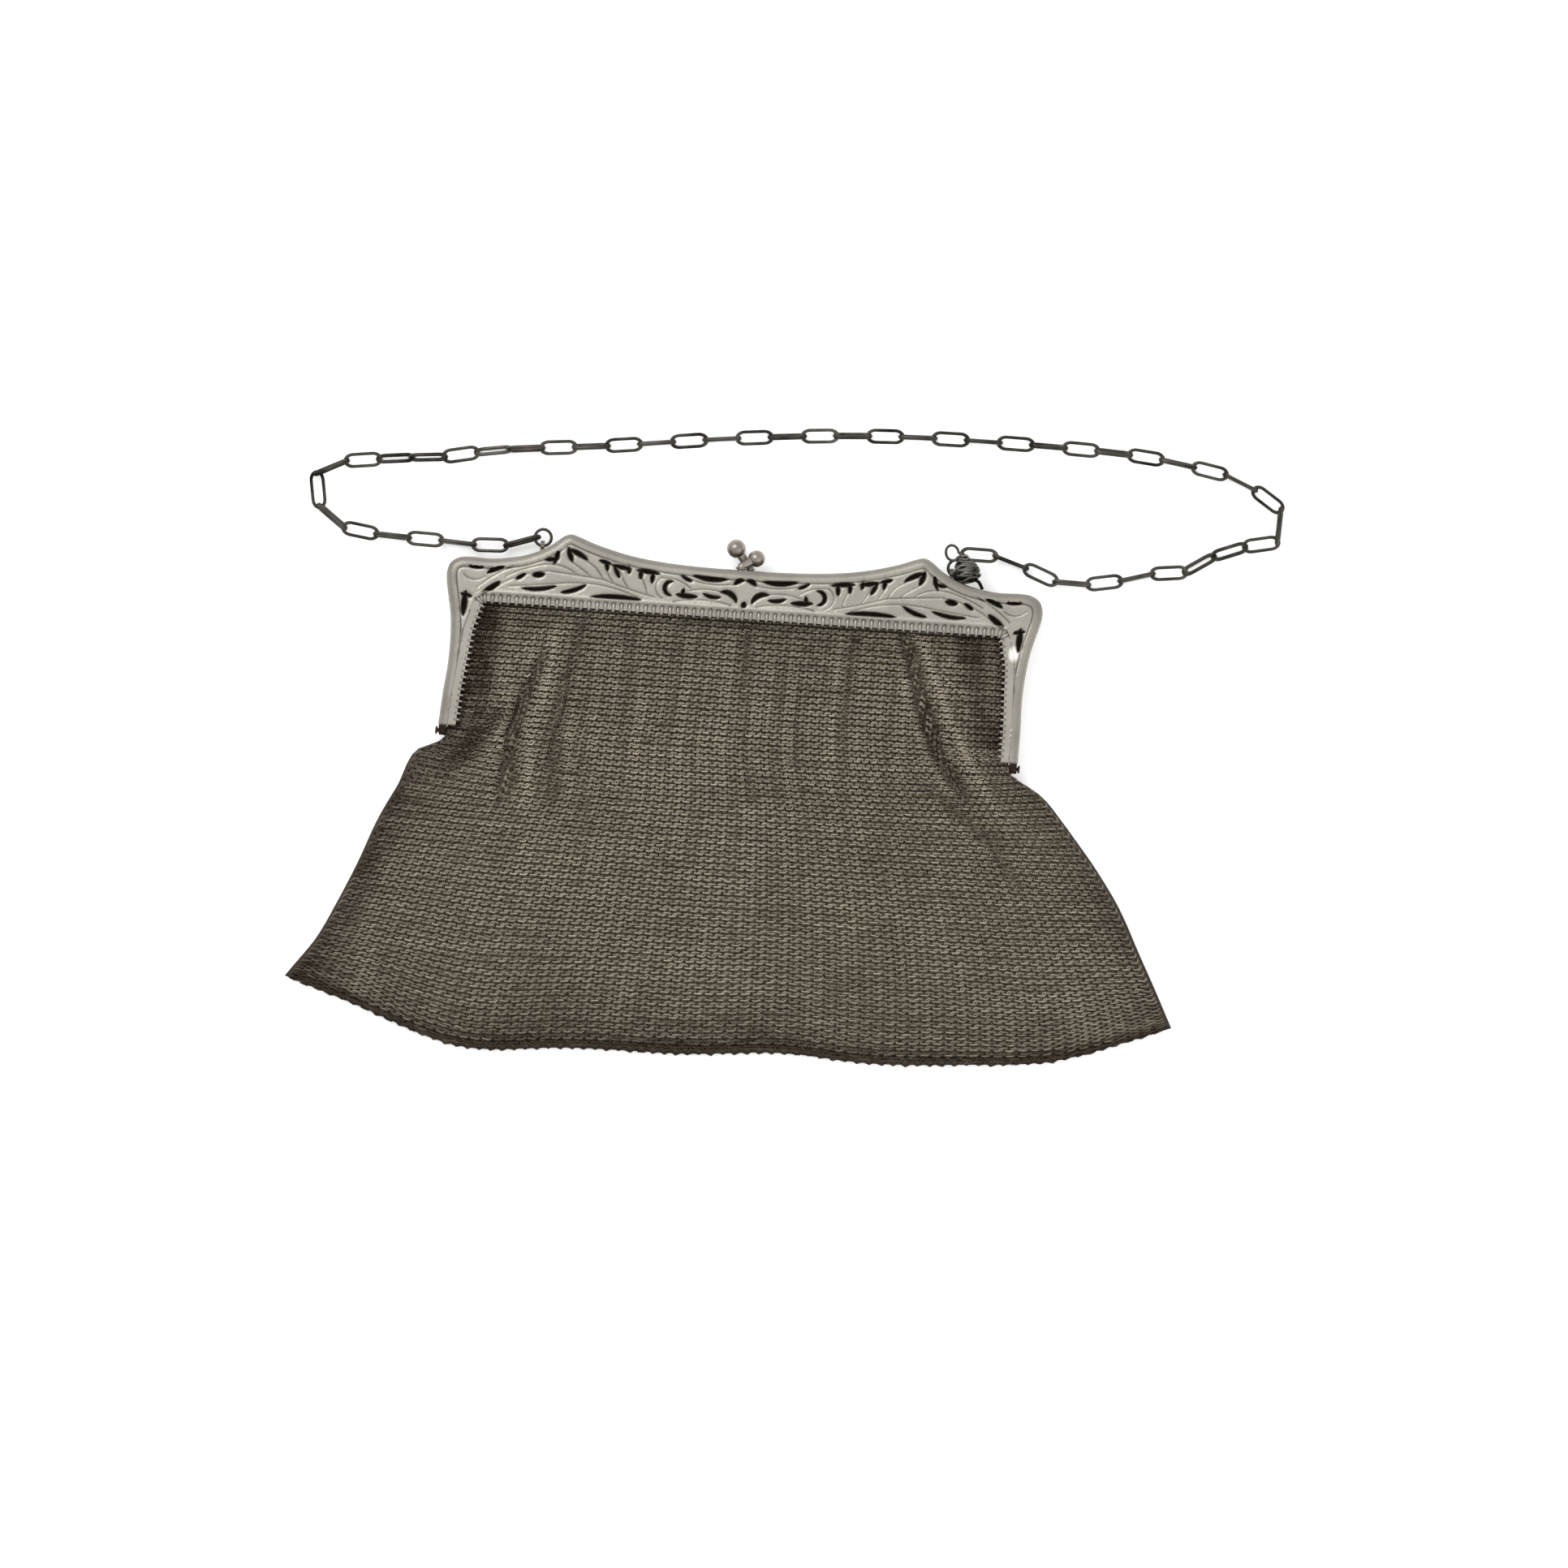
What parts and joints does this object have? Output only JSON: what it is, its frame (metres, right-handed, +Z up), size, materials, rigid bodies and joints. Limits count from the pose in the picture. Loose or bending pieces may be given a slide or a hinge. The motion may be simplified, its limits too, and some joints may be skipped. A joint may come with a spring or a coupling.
{
  "type": "metal mesh purse",
  "caption": "Flat evening purse of silver ring mesh on a hinged, pierced metal frame with a ball clasp and a long link chain.",
  "frame": {"origin": "middle of the purse's box, on the surface that it lies on", "axes": "+X along the rail of the frame, +Y from the hem to the clasp, +Z up out of the front of the purse"},
  "size_m": [0.2474, 0.1642, 0.0104],
  "materials": {
    "silver": "worn silver with tarnish in the pierced work",
    "ring_mesh": "tarnished silver ring mesh",
    "chain_silver": "dark tarnished wire",
    "clasp_silver": "worn silver balls",
    "hinge_metal": "brown oxidised pins"
  },
  "bodies": {
    "root": {"frame_front": "silver", "frame_back": "silver", "mesh_bag": "ring_mesh", "hinge_pin_left": "hinge_metal", "hinge_pin_right": "hinge_metal", "clasp_knob_front": "clasp_silver", "clasp_knob_back": "clasp_silver", "chain_ring_left": "chain_silver", "chain_ring_right": "chain_silver", "wire_knot": "chain_silver", "chain": "chain_silver"}
  },
  "joints": []
}
